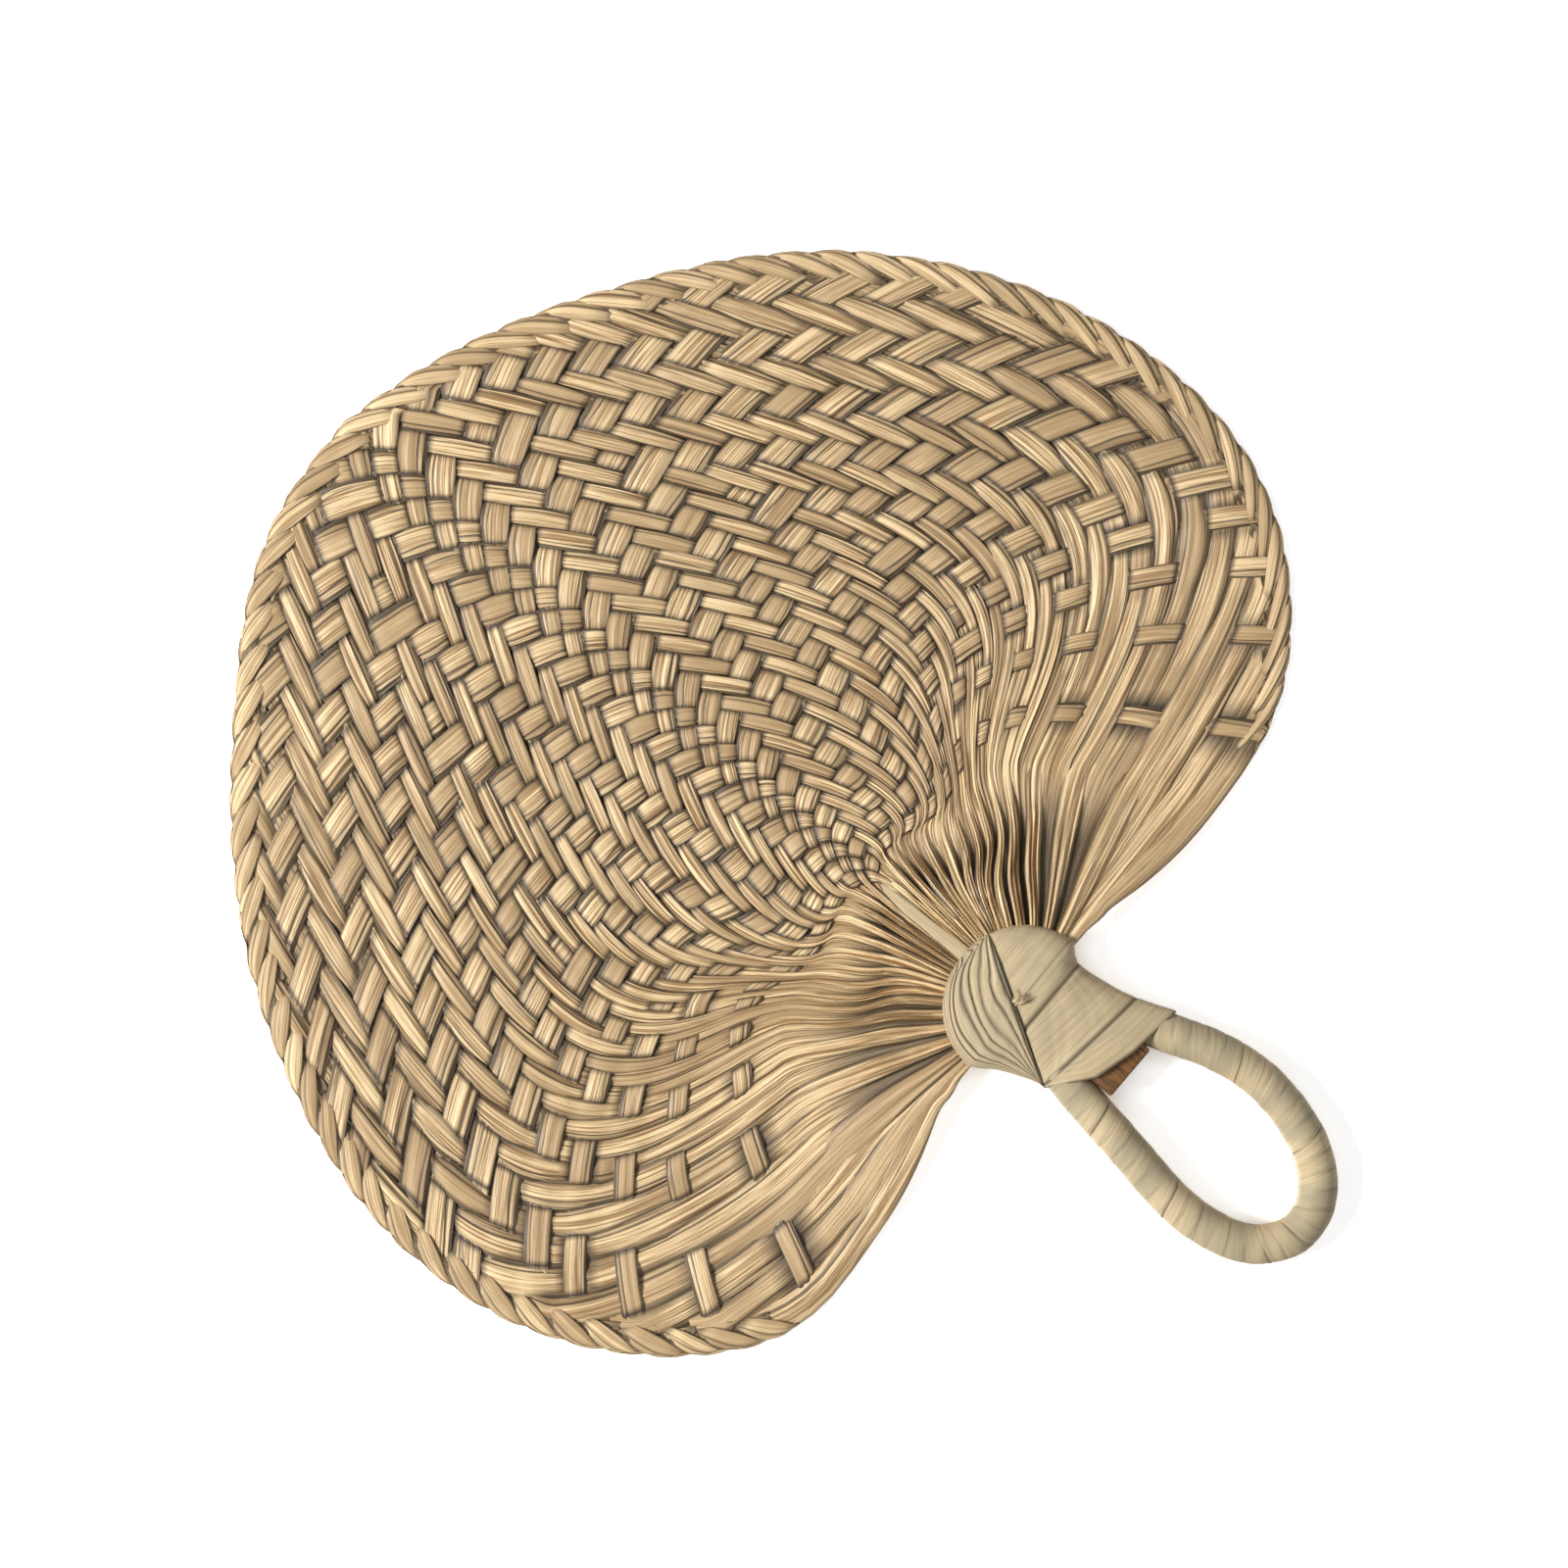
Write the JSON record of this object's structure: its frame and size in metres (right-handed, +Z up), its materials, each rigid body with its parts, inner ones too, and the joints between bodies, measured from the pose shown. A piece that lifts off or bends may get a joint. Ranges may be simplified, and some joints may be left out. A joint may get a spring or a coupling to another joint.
{
  "type": "palm leaf hand fan",
  "caption": "Spade-shaped hand fan woven from folded palm leaf strips, edged with a plaited rim, bound at the neck and carried on a leaf-wrapped loop handle.",
  "frame": {"origin": "on the table, under the middle of the whole fan's box", "axes": "+Y from the loop handle to the blade's tip, +Z up out of the face that the picture shows, +X to the right of that face"},
  "size_m": [0.3196, 0.3478, 0.0178],
  "materials": {
    "leaf": "dried palm leaf strip, straw tan, fine lengthwise fibres, soft sheen",
    "rim": "folded and plaited dried leaf ends, darker in the folds",
    "wrap": "pale young leaf, smooth, faint green-grey cast",
    "core": "bundled leaf stems, matt",
    "wood": "brown leaf-stalk wood, cut straight"
  },
  "bodies": {
    "handle": {"neck_band": "wrap", "neck_cap": "wrap", "neck_wrap_upper": "wrap", "neck_wrap_lower": "wrap", "neck_core": "core", "loop_core": "core", "loop_spiral": "wrap", "wedge": "wood"},
    "blade": {"leaf_right_01": "leaf", "leaf_left_01": "leaf", "leaf_right_02": "leaf", "leaf_left_02": "leaf", "leaf_right_03": "leaf", "leaf_left_03": "leaf", "leaf_right_04": "leaf", "leaf_left_04": "leaf", "leaf_right_05": "leaf", "leaf_left_05": "leaf", "leaf_right_06": "leaf", "leaf_left_06": "leaf", "leaf_right_07": "leaf", "leaf_left_07": "leaf", "leaf_right_08": "leaf", "leaf_left_08": "leaf", "leaf_right_09": "leaf", "leaf_left_09": "leaf", "leaf_right_10": "leaf", "leaf_left_10": "leaf", "leaf_right_11": "leaf", "leaf_left_11": "leaf", "leaf_right_12": "leaf", "leaf_left_12": "leaf", "leaf_right_13": "leaf", "leaf_left_13": "leaf", "leaf_right_14": "leaf", "leaf_left_14": "leaf", "leaf_right_15": "leaf", "leaf_left_15": "leaf", "leaf_right_16": "leaf", "leaf_left_16": "leaf", "leaf_right_17": "leaf", "leaf_left_17": "leaf", "leaf_right_18": "leaf", "leaf_left_18": "leaf", "leaf_right_19": "leaf", "leaf_left_19": "leaf", "leaf_right_20": "leaf", "leaf_left_20": "leaf", "leaf_right_21": "leaf", "leaf_left_21": "leaf", "leaf_right_22": "leaf", "leaf_left_22": "leaf", "rib": "wrap", "rim_plait_right": "rim", "rim_plait_left": "rim"}
  },
  "joints": [
    {"name": "blade_flex", "type": "hinge", "parent": "handle", "child": "blade", "pos_m": [0.00137, -0.06166, 0.009], "axis": [1, 0, 0], "range_deg": [-8, 8], "stiffness_Nm_per_rad": 1.5}
  ]
}
